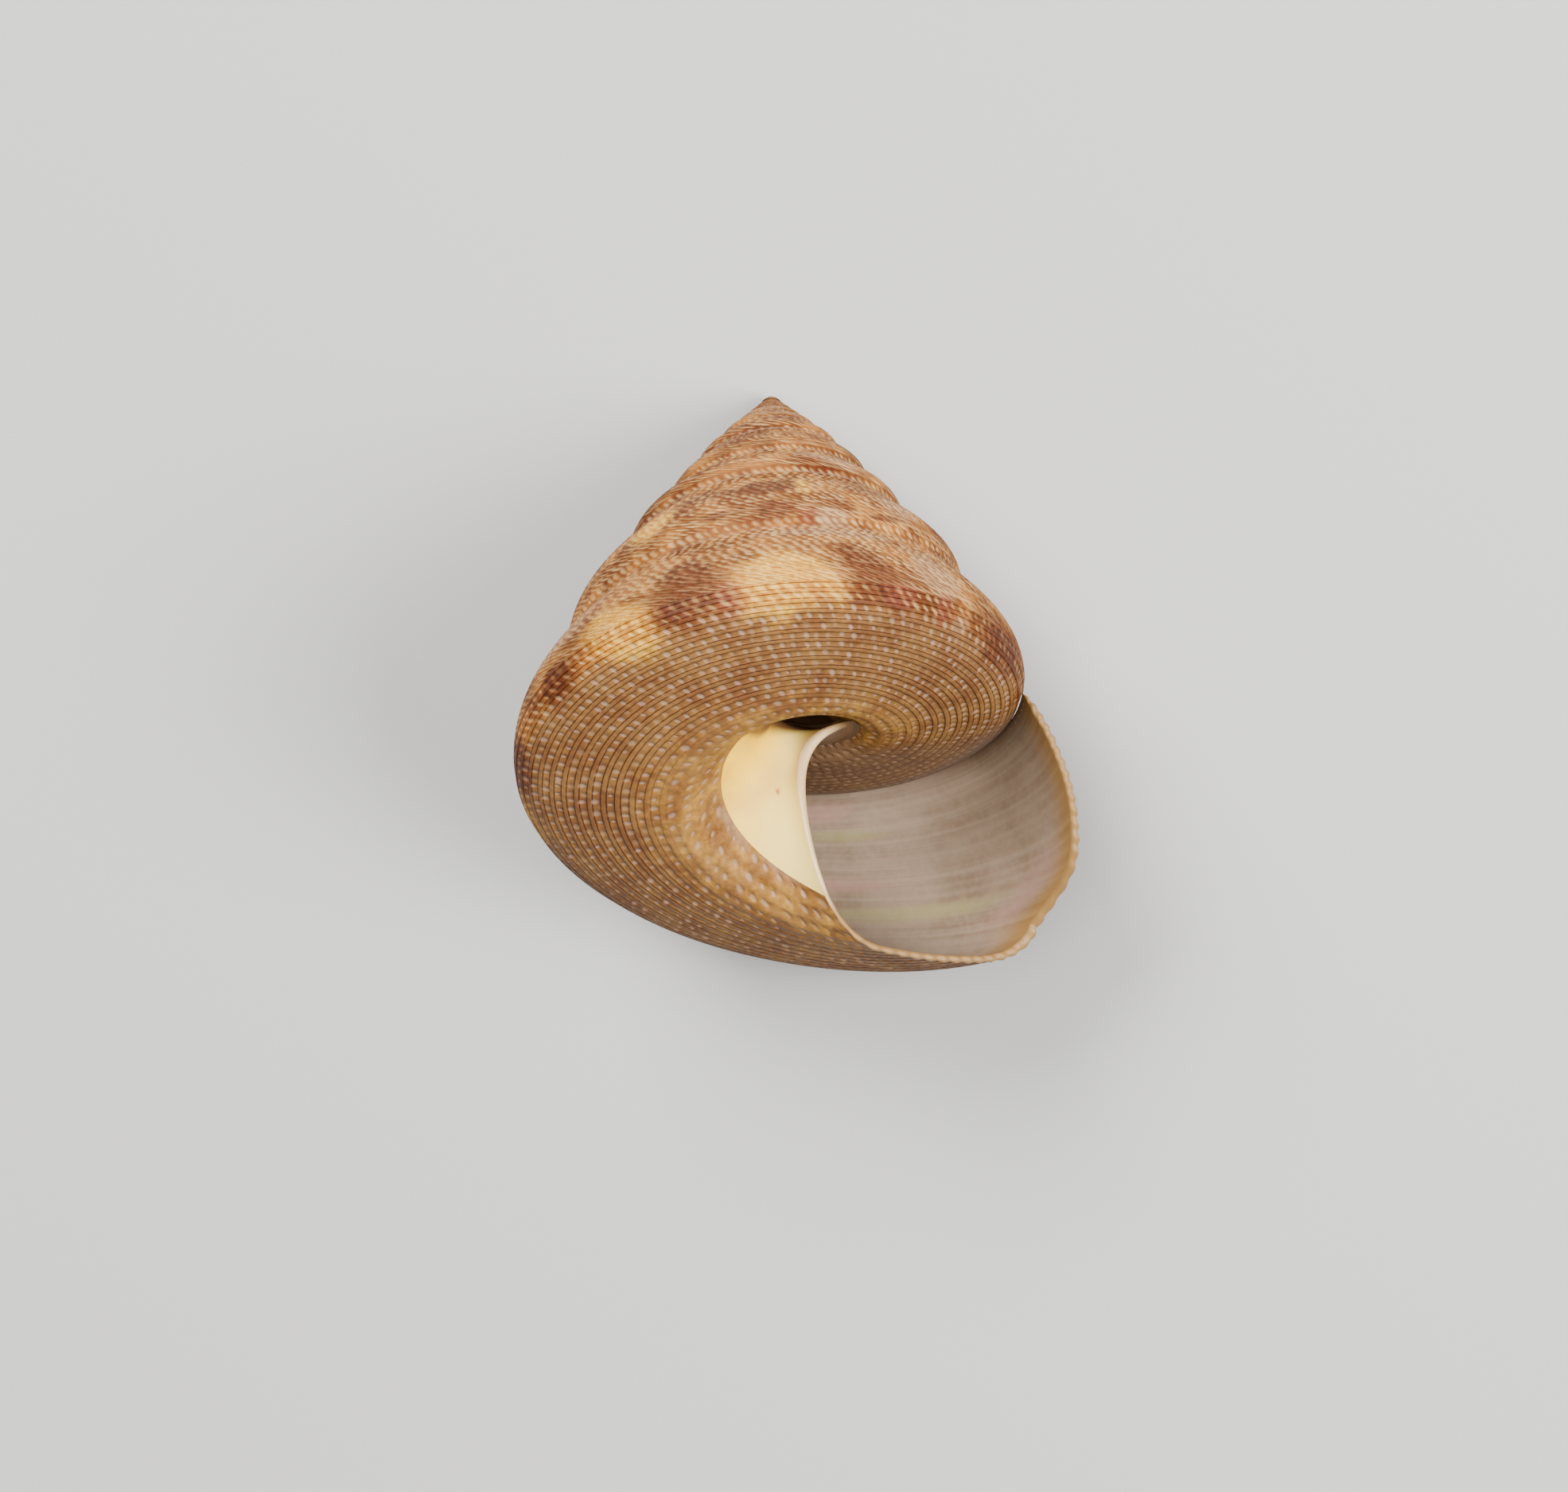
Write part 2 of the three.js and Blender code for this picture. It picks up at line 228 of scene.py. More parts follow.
def skin(name, points, material, along, across, flip=False, **paints):
    """A smooth mesh from a grid of points, which rides the body and stands for the solid. Each face joins a
    point to its neighbours. along has a value for each row of faces and column of points, so that it may
    jump from cord to cord, and across one for each row of points."""
    rows, columns = points.shape[:2]
    index = np.arange(rows * columns).reshape(rows, columns)
    faces = np.stack([index[:-1, :-1], index[1:, :-1], index[1:, 1:], index[:-1, 1:]], -1).reshape(-1, 4)
    u = np.broadcast_to(along, (rows - 1, columns))
    v = np.broadcast_to(across, (rows, columns))
    u = np.stack([u[:, :-1], u[:, :-1], u[:, 1:], u[:, 1:]], -1)
    v = np.stack([v[:-1, :-1], v[1:, :-1], v[1:, 1:], v[:-1, 1:]], -1)
    corners = np.stack([u, v], -1).reshape(-1, 4, 2)
    if flip:
        faces, corners = faces[:, ::-1], corners[:, ::-1]
    mesh = bpy.data.meshes.new(name)
    mesh.from_pydata(to_room(points).reshape(-1, 3), [], faces)
    mesh.polygons.foreach_set("use_smooth", np.ones(len(faces), bool))
    mesh.uv_layers.new(name="grown").data.foreach_set("uv", corners.astype(np.float32).ravel())
    for paint, values in paints.items():
        layer = mesh.attributes.new(paint, "FLOAT", "POINT")
        layer.data.foreach_set("value", np.broadcast_to(values, (rows, columns)).astype(np.float32).ravel())
    mesh.update()
    piece = bpy.data.objects.new(name, mesh)
    bpy.context.scene.collection.objects.link(piece)
    mesh.materials.append(material)
    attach(piece, "root")
    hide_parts("shell")
    print(name, "-", 2 * len(faces), "triangles")
    return piece


def fade(value, low, high):
    """0 below low, 1 above high, and smooth between."""
    t = np.clip((value - low) / (high - low), 0, 1)
    return t * t * (3 - 2 * t)


def spots(turn, w, places):
    """Soft oval spots: each place is turn, w, half length in turns, half width in w, and slant in turns
    per w. A spot is 1 inside and falls off as the exponential of the fourth power of the distance."""
    total = np.zeros(np.broadcast(turn, w).shape)
    for at, across, length, width, slant in places:
        away = ((w - across) / width) ** 2 + ((turn - at - slant * (w - across)) / length) ** 2
        total = np.maximum(total, np.exp(-(away**2)))
    return total


# %% [markdown]
# Materials. Each one is built from nodes with a few small functions. Colours are sRGB hex values. They are
# deeper than they look in the picture, because the renderer's view makes bright colours paler.

# %% Colour and node helpers
def linear(hex_colour):
    """sRGB hex to linear RGBA: each channel has the display curve taken off."""
    channels = [int(hex_colour[i : i + 2], 16) / 255 for i in (1, 3, 5)]
    return [c / 12.92 if c <= 0.04045 else ((c + 0.055) / 1.055) ** 2.4 for c in channels] + [1.0]


def feed(material, socket, value):
    """Gives a socket a value: another node's output, a hex colour or a number."""
    if isinstance(value, bpy.types.NodeSocket):
        material.node_tree.links.new(value, socket)
    else:
        socket.default_value = linear(value) if isinstance(value, str) else value


def add_node(material, kind, inputs=(), **settings):
    """Adds a node, sets its properties by name and feeds its inputs by name or number."""
    node = material.node_tree.nodes.new(kind)
    for key, value in settings.items():
        setattr(node, key, value)
    for key, value in dict(inputs).items():
        feed(material, node.inputs[key], value)
    return node


def new_material(name):
    material = bpy.data.materials.new(name)
    material.use_nodes = True
    return material, material.node_tree.nodes["Principled BSDF"]


def attribute(material, name):
    return add_node(material, "ShaderNodeAttribute", attribute_name=name).outputs["Fac"]


def calc(material, operation, *values):
    """A Math node on numbers or outputs."""
    return add_node(material, "ShaderNodeMath", enumerate(values), operation=operation).outputs[0]


def blend(material, factor, low, high, mode="MIX"):
    """Mixes two colours, each a hex string or an output, by a factor that is a number or an output."""
    inputs = {0: factor, 6: low, 7: high}
    return add_node(material, "ShaderNodeMix", inputs, data_type="RGBA", blend_type=mode).outputs[2]


def ramp(material, source, low, high):
    """Maps a value so that low gives 0 and high gives 1, with soft ends."""
    inputs = {"Value": source, "From Min": low, "From Max": high}
    return add_node(material, "ShaderNodeMapRange", inputs, interpolation_type="SMOOTHSTEP").outputs[0]


def noise(material, feature_mm, detail=3.0, stretch=None):
    """A fractal noise with features of a given size in mm. With a stretch for each way it lies along the
    UV map instead, and the size isn't used."""
    if stretch is None:
        vector, scale = add_node(material, "ShaderNodeTexCoord").outputs["Object"], 1 / (feature_mm * MM)
    else:
        where = add_node(material, "ShaderNodeUVMap", uv_map="grown").outputs[0]
        stretched = add_node(material, "ShaderNodeVectorMath", {0: where, 1: stretch}, operation="MULTIPLY")
        vector, scale = stretched.outputs[0], 1.0
    inputs = {"Vector": vector, "Scale": scale, "Detail": detail}
    return add_node(material, "ShaderNodeTexNoise", inputs).outputs["Fac"]


# %% [markdown]
# Beads and lines. On the real shell each cord carries a row of small round beads, paler than the ground,
# and thin dark lines are cut along both sides of it. They could all be modelled, but there are thousands.
# Here they are drawn in the cells of the UV map, so they stay sharp however near the camera comes, and
# low bumps in the mesh lie under them. A chance for each cell makes some beads small and leaves some out.

# %% The pattern of beads and lines
LINE_AT, LINE_WIDTH = 0.29, 0.085
BEAD_SHIFT, CORD_SHIFT = 0.3, 0.2
BEAD_FULL, BEAD_GONE = 0.45, 1.35
GROUND_NONE, GROUND_FULL = 0.9, 1.8
SMALLEST_BEAD, SIZE_SPREAD = 0.7, 0.5
FAINTEST_BEAD, FAINT_CHANCE = 0.3, 0.8


def beads_and_lines(material):
    """How much of a bead, of a line and of the ground between beads a point is, and the cell's chance. The
    distance to a bead is the root of two squares: the ways from its cell's middle, which is shifted by
    chance, each over the bead's radius that way. The radii come in attributes, in parts of the cell. A
    line is LINE_AT from a cord's middle."""
    where = add_node(material, "ShaderNodeUVMap", uv_map="grown").outputs[0]
    u, v = add_node(material, "ShaderNodeSeparateXYZ", {0: where}).outputs[:2]
    numbers = {0: calc(material, "FLOOR", u), 1: calc(material, "FLOOR", v)}
    cell = add_node(material, "ShaderNodeCombineXYZ", numbers).outputs[0]
    chances = add_node(material, "ShaderNodeTexWhiteNoise", {"Vector": cell}, noise_dimensions="2D")
    kind = chances.outputs["Value"]
    three = add_node(material, "ShaderNodeSeparateXYZ", {0: chances.outputs["Color"]})
    first, second, third = three.outputs
    shift = calc(material, "MULTIPLY_ADD", first, BEAD_SHIFT, -0.5 - BEAD_SHIFT / 2)
    x = calc(material, "ADD", calc(material, "FRACT", u), shift)
    across = calc(material, "SUBTRACT", calc(material, "FRACT", v), 0.5)
    y = calc(material, "ADD", across, calc(material, "MULTIPLY_ADD", second, CORD_SHIFT, -CORD_SHIFT / 2))
    x = calc(material, "DIVIDE", x, attribute(material, "bead_long"))
    y = calc(material, "DIVIDE", y, attribute(material, "bead_wide"))
    away = calc(material, "SQRT", calc(material, "MULTIPLY_ADD", x, x, calc(material, "MULTIPLY", y, y)))
    size = calc(material, "MULTIPLY_ADD", third, SIZE_SPREAD, SMALLEST_BEAD)
    away = calc(material, "DIVIDE", away, size)
    between = ramp(material, away, GROUND_NONE, GROUND_FULL)
    bead = calc(material, "SUBTRACT", 1.0, ramp(material, away, BEAD_FULL, BEAD_GONE))
    strong = ramp(material, kind, 0.0, FAINT_CHANCE)
    strong = calc(material, "MULTIPLY_ADD", strong, 1 - FAINTEST_BEAD, FAINTEST_BEAD)
    bead = calc(material, "MULTIPLY", bead, strong)
    from_line = calc(material, "SUBTRACT", calc(material, "ABSOLUTE", across), LINE_AT)
    from_line = calc(material, "ABSOLUTE", from_line)
    line = calc(material, "SUBTRACT", 1.0, ramp(material, from_line, 0.0, LINE_WIDTH))
    return bead, line, between, kind


# %% [markdown]
# The outer layer is calcite that the animal lays down with pigment in it, so it is matt to satin and its
# colours are cloudy. One colour with a noise over it would look like paint. Here patches of brown, yellow,
# rose and pale lie on a ground of gold on the base and tan on the sides, all broken up by noise of the
# real sizes: clouds of 2 mm, patch edges of 1 mm, grain of 0.3 mm.

# %% The outer layer
CLOUD_MM, EDGE_MM, FLAME_MM, GRAIN_MM = 1.9, 1.1, 2.2, 0.3
EDGE_BREAK = 1.1
ROSE_COVER, GRAIN_COVER, PIT_COVER = 0.4, 0.35, 0.6
PALER_BEAD, PALER_LOST_ON_BROWN = 0.62, 0.4
LINE_DEPTH, GRAIN_HEIGHT = 0.6, 0.25
SATIN_ROUGHNESS, ROUGHNESS_SPREAD = 0.48, 0.12


def beaded_layer():
    """Satin calcite: patches over a ground, then dark lines and pits multiplied in, then beads mixed over.
    The grain carries the roughness, and beads stand up and lines are cut in by a bump."""
    material, shader = new_material("beaded calcite, satin")
    bead, line, between, kind = beads_and_lines(material)
    cloud = ramp(material, noise(material, CLOUD_MM, 5.0), 0.38, 0.62)
    grain = ramp(material, noise(material, GRAIN_MM, 3.0), 0.3, 0.7)
    rough_edge = calc(material, "MULTIPLY_ADD", noise(material, EDGE_MM, 6.0), EDGE_BREAK, -EDGE_BREAK / 2)
    on_side = attribute(material, "tan")

    def patch(name):
        return ramp(material, calc(material, "ADD", attribute(material, name), rough_edge), 0.0, 1.0)

    gold = blend(material, cloud, "#6b4829", "#7b5b34")
    tan = blend(material, cloud, "#69421e", "#9d6f34")
    ground = blend(material, on_side, gold, tan)
    flames = ramp(material, noise(material, FLAME_MM, 3.0), 0.44, 0.64)
    flames = calc(material, "MULTIPLY", flames, attribute(material, "flames"))
    ground = blend(material, flames, ground, "#592d10")
    ground = blend(material, patch("yellow"), ground, blend(material, grain, "#ba8a29", "#c9a142"))
    ground = blend(material, patch("pale"), ground, "#907151")
    ground = blend(material, patch("brown"), ground, blend(material, grain, "#522e15", "#623a20"))
    ground = blend(material, calc(material, "MULTIPLY", patch("rose"), ROSE_COVER), ground, "#814637")
    grey_grain = blend(material, grain, "#6f5038", "#b89c80")
    ground = blend(material, GRAIN_COVER, ground, grey_grain, "OVERLAY")
    dark = calc(material, "MULTIPLY", line, attribute(material, "line"))
    ground = blend(material, dark, ground, "#7c5230", "MULTIPLY")
    pits = calc(material, "MULTIPLY", calc(material, "MULTIPLY", between, on_side), PIT_COVER)
    ground = blend(material, pits, ground, "#b07c50", "MULTIPLY")
    paler = calc(material, "MULTIPLY_ADD", patch("brown"), -PALER_LOST_ON_BROWN, PALER_BEAD)
    base_bead = blend(material, kind, "#977f61", "#92715e")
    side_bead = blend(material, paler, ground, "#ab8a5c")
    shown = calc(material, "MULTIPLY", bead, attribute(material, "bead"))
    colour = blend(material, shown, ground, blend(material, on_side, base_bead, side_bead))
    colour = blend(material, attribute(material, "glaze"), colour, "#69584b")
    # Painted shade: where little light reaches, under the roof of the mouth and up the funnel, the colour is
    # mixed towards near black.
    colour = blend(material, attribute(material, "deep"), colour, "#1c1410")
    feed(material, shader.inputs["Base Color"], colour)
    height = calc(material, "MULTIPLY_ADD", grain, GRAIN_HEIGHT, shown)
    height = calc(material, "MULTIPLY_ADD", dark, -LINE_DEPTH, height)
    bump = add_node(material, "ShaderNodeBump", {"Strength": 0.55, "Distance": 0.09 * MM, "Height": height})
    feed(material, shader.inputs["Normal"], bump.outputs[0])
    roughness = calc(material, "MULTIPLY_ADD", grain, ROUGHNESS_SPREAD, SATIN_ROUGHNESS)
    feed(material, shader.inputs["Roughness"], roughness)
    shader.inputs["IOR"].default_value = 1.5
    shader.inputs["Specular IOR Level"].default_value = 0.1
    return material


beaded = beaded_layer()
print(beaded.name, "-", len(beaded.node_tree.nodes), "nodes")

# %% [markdown]
# The pad in the funnel is a dense layer like porcelain, laid over the wall by the animal's mantle. It is
# smooth and softly polished, yellow cream above and whiter towards the lip, with one small stain. Its
# cloud is a slow noise of 2.6 mm, and a shallow unevenness of 0.8 mm keeps it from looking machined. Clear
# varnish over a plain colour would look deeper, but the real pad is dull beside glass.

# %% The porcelain layer
PAD_CLOUD_MM, PAD_UNEVEN_MM = 2.6, 0.8


def porcelain_pad():
    """Cream to white by an attribute, with the stain and a painted shade above the pad's top mixed over."""
    material, shader = new_material("porcelain layer, polished")
    cloud = ramp(material, noise(material, PAD_CLOUD_MM, 3.0), 0.35, 0.7)
    cream = blend(material, cloud, "#d3990d", "#f2be25")
    colour = blend(material, attribute(material, "white"), cream, "#efcf72")
    colour = blend(material, attribute(material, "stain"), colour, "#ac6124")
    # Painted shade: above its top edge the pad is darkened, in the shade of the slit over it.
    colour = blend(material, attribute(material, "deep"), colour, "#634428")
    feed(material, shader.inputs["Base Color"], colour)
    uneven = noise(material, PAD_UNEVEN_MM, 3.0)
    bump = add_node(material, "ShaderNodeBump", {"Strength": 0.2, "Distance": 0.1 * MM, "Height": uneven})
    feed(material, shader.inputs["Normal"], bump.outputs[0])
    shader.inputs["Roughness"].default_value = 0.45
    shader.inputs["IOR"].default_value = 1.5
    shader.inputs["Specular IOR Level"].default_value = 0.1
    return material


porcelain = porcelain_pad()
print(porcelain.name, "-", len(porcelain.node_tree.nodes), "nodes")

# %% [markdown]
# The lining is mother of pearl: thin plates of aragonite. Light that they turn back gives pink and green
# bands, and their ends make streaks along the coil. A thin film would be the true way to get the bands,
# but they would slide with the camera, so they are painted where the photograph shows them.

# %% Mother of pearl
PEARL_CLOUD_MM, PEARL_GRAIN_MM = 4.0, 0.35
STREAKS_PER_UNIT = (3.0, 26.0, 1.0)
STREAK_COVER, BAND_COVER, PEARL_GRAIN_COVER = 0.4, 0.6, 0.15


def nacre():
    """Silver grey with streaks, pink and green bands, a tan margin at the outer lip and white at the inner
    one. The streaks are a noise stretched along the coil: 3 to a turn and 26 to a unit of w."""
    material, shader = new_material("mother of pearl")
    cloud = ramp(material, noise(material, PEARL_CLOUD_MM, 3.0), 0.35, 0.65)
    streaks = ramp(material, noise(material, None, 4.0, STREAKS_PER_UNIT), 0.32, 0.68)
    grain = ramp(material, noise(material, PEARL_GRAIN_MM, 3.0), 0.35, 0.7)
    silver = blend(material, cloud, "#6d5845", "#826c59")
    silver = blend(material, calc(material, "MULTIPLY", streaks, STREAK_COVER), silver, "#927f6b")
    for band, tint in (("rose", "#906c5f"), ("green", "#847c4c")):
        cover = calc(material, "MULTIPLY", attribute(material, band), BAND_COVER)
        silver = blend(material, cover, silver, tint)
    silver = blend(material, calc(material, "MULTIPLY", grain, PEARL_GRAIN_COVER), silver, "#978d78")
    margin = blend(material, streaks, "#7a592e", "#866539")
    colour = blend(material, attribute(material, "margin"), silver, margin)
    colour = blend(material, attribute(material, "white"), colour, "#ccab7a")
    # Painted shade: the lining is darkened where little light gets in, beside the suture under the roof and
    # at the inner lip's top.
    colour = blend(material, attribute(material, "dusk"), colour, "#583e26")
    feed(material, shader.inputs["Base Color"], colour)
    bump = add_node(material, "ShaderNodeBump", {"Strength": 0.25, "Distance": 0.06 * MM, "Height": streaks})
    feed(material, shader.inputs["Normal"], bump.outputs[0])
    shader.inputs["Roughness"].default_value = 0.4
    shader.inputs["IOR"].default_value = 1.55
    shader.inputs["Specular IOR Level"].default_value = 0.35
    return material


pearl = nacre()
print(pearl.name, "-", len(pearl.node_tree.nodes), "nodes")

# %% [markdown]
# Cords. They are evenly spread over the outline's length, not over w, so the number of cords up to each w
# is counted once, half a turn back from the lip. On the base they get wider towards the funnel.

# %% How many cords lie above each place
SIDE_CORDS, BASE_CORDS = 18, 17
SIDE_PITCHES, BASE_PITCHES = (1, 1), (0.5, 0.85)
COUNTED_AT, COUNT_STEPS = -0.5, 600


def count_cords(w_from, w_to, number, pitches):
    """Cords from w_from up to each w: the length of the outline, each step divided by the pitch there."""
    w = np.linspace(w_from, w_to, COUNT_STEPS)
    radius, depth = outline(COUNTED_AT, w)
    length = np.concatenate([[0], np.cumsum(np.hypot(np.diff(radius), np.diff(depth)))])
    pitch = np.interp(length, [0, length[-1]], pitches)
    cords = np.concatenate([[0], np.cumsum(np.diff(length) / pitch[1:])])
    return w, number * cords / cords[-1]


side_w, side_count = count_cords(0, 1, SIDE_CORDS, SIDE_PITCHES)
base_w, base_count = count_cords(1, 2, BASE_CORDS, BASE_PITCHES)
CORD_W = np.concatenate([side_w, base_w[1:]])
CORD_COUNT = np.concatenate([side_count, SIDE_CORDS + base_count[1:]])
print("cords in all:", CORD_COUNT[-1])

# %% [markdown]
# A cord is a low round ridge with bumps on it. A bump in the material alone would leave the outline smooth,
# so it is real relief, which shows in the outline and in the light. Rows of beads on a real shell aren't in
# step, so each cord's beads drift along it by a few sines with phases drawn once from a fixed seed.

# %% A grid with cords and beads
CORD_CHANCES = 64
chance = np.random.default_rng(7)
DRIFT = chance.uniform(0.0, 2 * math.pi, (CORD_CHANCES, 3))
DRIFT_RATES = (3, 7, 13)
BEAD_DRIFT = 0.9
RELIEF_RADIUS = 13.5
CORD_SPREAD = 1.2
BEAD_GROWTH = 0.4
MOUTH_AT = (0.895, 0.93)
GLAZE_FROM, GLAZE_TO = (1.02, 1.045), (1.1, 1.35)


def wave(count):
    """A raised cosine: 0 at each whole number and 1 half way between."""
    return 0.5 - 0.5 * np.cos(2 * math.pi * count)


def cord_grid(cord_range, per_cord, column, sample_turn, bead_pitch, height, bead_radius, ridge_share,
              coarseness=1):
    """A grid of rows across the cords and columns along the coil, raised along its normal. A ridge is a
    raised cosine across each cord, and a bump is a raised cosine along it, once for each bead. Both fade
    out inside the mouth, where glaze covers them."""
    first, last = (number / coarseness for number in cord_range)
    count = np.linspace(first, last, round((last - first) * per_cord) + 1)
    w = np.interp(count * coarseness, CORD_COUNT, CORD_W)
    cord = np.floor((count[:-1] + count[1:]) / 2).astype(int)
    middle = np.interp((cord + 0.5) * coarseness, CORD_COUNT, CORD_W)
    edges = np.interp((cord[:, None] + [0, 1]) * coarseness, CORD_COUNT, CORD_W)
    sizes = [outline(sample_turn, edge) for edge in (edges[:, 0], edges[:, 1])]
    wide = np.hypot(sizes[1][0] - sizes[0][0], sizes[1][1] - sizes[0][1])
    around = 2 * math.pi * outline(sample_turn, middle)[0]
    beads = np.round(around / bead_pitch)
    phases = DRIFT[cord % CORD_CHANCES]
    drift = sum(
        np.sin(2 * math.pi * column * rate + phases[:, i][:, None]) / rate
        for i, rate in enumerate(DRIFT_RATES)
    )
    along = beads[:, None] * column + BEAD_DRIFT * drift + 0.5 * (cord[:, None] % 2)
    w = w[:, None]
    turn = column + lean(w)
    points = place(*outline(turn, w), turn)
    bump = wave(np.concatenate([along, along[-1:]]))
    tall = height * rim_radius(turn) / RELIEF_RADIUS * wave(count)[:, None]
    tall = tall * (ridge_share + (1 - ridge_share) * bump)
    glazed = fade(-column, *MOUTH_AT) * fade(w, *GLAZE_FROM) * (1 - fade(w, *GLAZE_TO))
    points = points + outward(points) * (tall * (1 - glazed))[..., None]
    by_row = np.concatenate([np.arange(len(cord)), [len(cord) - 1]])
    radius = bead_radius * (rim_radius(sample_turn) / RELIEF_RADIUS) ** BEAD_GROWTH
    bead_long = (radius / (around / beads))[by_row][:, None]
    bead_wide = (radius * CORD_SPREAD / wide)[by_row][:, None]
    return points, turn, w, along, count[:, None], dict(bead_long=bead_long, bead_wide=bead_wide)


# %% [markdown]
# Colour patches on the side. The photograph shows brown, yellow, rose and pale flames that follow growth
# lines. Noise alone would put them anywhere, so each is an oval set where it lies on the whorl, given by
# turn, w, half length, half width and slant, and the material's noise then breaks its edge.

# %% The patches
BROWN = [
    (-0.692, 0.80, 0.025, 0.40, 0.0), (-0.808, 0.80, 0.022, 0.40, -0.06), (-0.592, 1.04, 0.019, 0.12, 0.0),
    (-0.930, 1.03, 0.034, 0.20, 0.0), (-0.505, 1.08, 0.025, 0.12, 0.0), (-0.360, 0.80, 0.030, 0.35, -0.06),
    (-0.150, 0.80, 0.028, 0.35, -0.06), (-1.748, 0.90, 0.018, 0.13, 0.0), (-1.742, 0.45, 0.030, 0.22, 0.0),
    (-1.702, 0.86, 0.014, 0.06, 0.0), (-1.845, 0.92, 0.016, 0.06, 0.15), (-1.480, 0.70, 0.030, 0.35, -0.06),
    (-1.200, 0.60, 0.035, 0.35, -0.06),
]
YELLOW = [
    (-0.750, 0.90, 0.028, 0.32, 0.0), (-0.645, 0.98, 0.024, 0.26, -0.05),
    (-0.772, 0.85, 0.010, 0.28, -0.06), (-0.450, 0.90, 0.030, 0.25, 0.0),
    (-0.250, 0.90, 0.030, 0.25, 0.0), (-1.640, 0.60, 0.020, 0.25, 0.0), (-1.775, 0.45, 0.008, 0.20, 0.0),
]
ROSE = [
    (-0.863, 1.05, 0.008, 0.10, 0.0), (-0.720, 1.02, 0.009, 0.12, 0.0), (-1.775, 0.95, 0.008, 0.10, 0.0),
    (-0.830, 1.02, 0.012, 0.08, 0.0),
]
PALE = [
    (-6.3, 0.70, 0.60, 0.50, 0.0), (-4.35, 0.60, 0.12, 0.40, 0.0), (-3.30, 0.60, 0.05, 0.35, -0.06),
    (-2.83, 0.60, 0.04, 0.35, -0.06), (-0.862, 0.66, 0.020, 0.34, 0.0), (-1.795, 0.97, 0.016, 0.09, 0.0),
    (-0.580, 0.50, 0.040, 0.30, 0.0), (-0.878, 1.09, 0.008, 0.06, 0.0), (-1.870, 0.60, 0.025, 0.25, 0.0),
    (-0.790, 0.12, 0.060, 0.13, 0.0),
]
PATCHES = {"brown": BROWN, "yellow": YELLOW, "rose": ROSE, "pale": PALE}
PLAIN = dict(bead=0.0, bead_long=1.0, bead_wide=1.0, line=0.0, tan=0.0, flames=0.0, glaze=0.0, deep=0.0,
             brown=0.0, yellow=0.0, rose=0.0, pale=0.0)


def patches(turn, w):
    """How much of each patch colour every point has."""
    return {colour: spots(turn, w, places) for colour, places in PATCHES.items()}


print("patches:", {colour: len(places) for colour, places in PATCHES.items()})

# %% [markdown]
# The side of the last whorl and the spire. On the real shell they are one ribbon, and each whorl covers the
# lower edge of the one before. It is cut into stretches so that each mesh stays small. The upper whorls
# have fewer and coarser cords, as they were grown by a smaller animal, and beads set closer together.

# %% The sides
HIDDEN_CORDS = 2
SIDE_STRETCHES = [
    # name, from and to in turns, columns, last cord, rows per cord, bead pitch in mm, coarseness
    ("side_of_the_last_whorl", -1.105, 0.0, 1061, SIDE_CORDS, 4, 0.56, 1),
    ("next_whorl", -2.105, -1.0, 801, SIDE_CORDS + HIDDEN_CORDS, 4, 0.5, 1),
    ("third_and_fourth_whorls", -4.0, -2.0, 1001, SIDE_CORDS + HIDDEN_CORDS, 6, 0.42, 2),
    ("early_whorls", -11.0, -4.0, 1801, SIDE_CORDS + HIDDEN_CORDS, 5, 0.34, 3),
]
SIDE_HEIGHT, SIDE_RIDGE_SHARE, SIDE_BEAD_RADIUS = 0.11, 0.1, 0.17
EARLIEST_SAMPLE = -6.0
SIDE_BEAD, SIDE_LINE = 0.85, 0.1
COVERED_FROM = (1.035, 1.05)
TAN_TO_GOLD = (1.05, 1.17)
FLAMES_AT_LIP, FLAMES_ON_SPIRE = 0.15, 0.9
FLAMES_GROW = (0.9, 1.2)

for name, first, last, columns, last_cord, per_cord, pitch, coarseness in SIDE_STRETCHES:
    column = np.linspace(first, last, columns)[None, :]
    sample_turn = max((first + last) / 2, EARLIEST_SAMPLE)
    points, turn, w, along, count, cell = cord_grid(
        (0, last_cord), per_cord, column, sample_turn, pitch, SIDE_HEIGHT, SIDE_BEAD_RADIUS,
        SIDE_RIDGE_SHARE, coarseness
    )
    covered = fade(-column, *MOUTH_AT) * fade(w, *COVERED_FROM)
    flames = (FLAMES_ON_SPIRE - FLAMES_AT_LIP) * fade(-column, *FLAMES_GROW) + FLAMES_AT_LIP
    skin(name, points, beaded, along, count, bead=SIDE_BEAD * (1 - covered), line=SIDE_LINE,
         tan=1 - fade(w, *TAN_TO_GOLD), glaze=covered, deep=0.0, flames=flames, **cell, **patches(turn, w))

# %% [markdown]
# The tip. The first whorls are too small to see one by one. The ribbon could run on to nothing, but its
# cords would crowd to a point, so a small blunt cap closes its end: rings whose depth grows with the square
# of their size.

# %% The tip of the spire
TIP_RINGS, TIP_POINTS = 12, 97
TIP_WIDER, TIP_START = 1.6, 0.4
rings = np.linspace(0, 1, TIP_RINGS)[:, None]
around = np.linspace(0, 1, TIP_POINTS)[None, :]
tip_radius, tip_depth = side_line(-11.0, 0.5)
points = place(tip_radius * TIP_WIDER * rings, tip_depth * (TIP_START + rings**2), around)
tip_paints = {**PLAIN, "tan": 1.0, "yellow": 0.3, "pale": 1.0}
skin("tip_of_the_spire", points, beaded, around, rings, True, **tip_paints)

# %% [markdown]
# The base of the last whorl, from the rim to the funnel's edge, and the base of the whorl before it, which
# is the roof of the mouth. They are one surface on the real shell, and the lip's glaze covers the roof's
# outer cords. The roof starts two cords in, where the side above it ends. Rust and frost spots lie at the
# funnel's edge, and a small chip shows on the left. One fault is left: from 1.1 to 1 turns back, the first
# two cords of the base are in none of the pieces, so behind the upper end of the outer lip a strip of up
# to 0.8 mm beside the suture is open.

